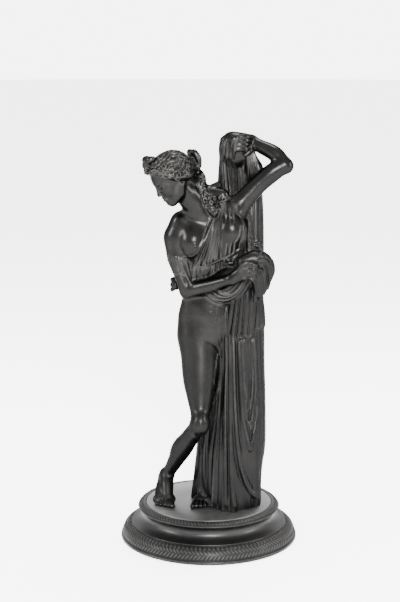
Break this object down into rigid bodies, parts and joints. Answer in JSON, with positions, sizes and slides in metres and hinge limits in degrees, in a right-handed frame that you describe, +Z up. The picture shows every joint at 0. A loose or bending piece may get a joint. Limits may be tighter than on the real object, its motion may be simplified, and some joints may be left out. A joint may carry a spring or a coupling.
{
  "type": "draped female figure on a round plinth",
  "caption": "Dark bronze statuette of a draped standing woman, one arm raised over her cloak, on a round moulded plinth.",
  "frame": {"origin": "middle of the plinth's flat underside, on the surface it stands on", "axes": "+Z up the figure, -Y towards the viewer in front of her, +X to that viewer's right, on the side of the raised arm"},
  "size_m": [0.176, 0.176, 0.4033],
  "materials": {
    "figure_bronze": "dark brown-black patina, waxed, rubbed paler on the raised parts",
    "plinth_bronze": "dark brown-black patina, waxed, with relief ornament"
  },
  "bodies": {
    "root": {"figure": "figure_bronze", "plinth": "plinth_bronze"}
  },
  "joints": []
}
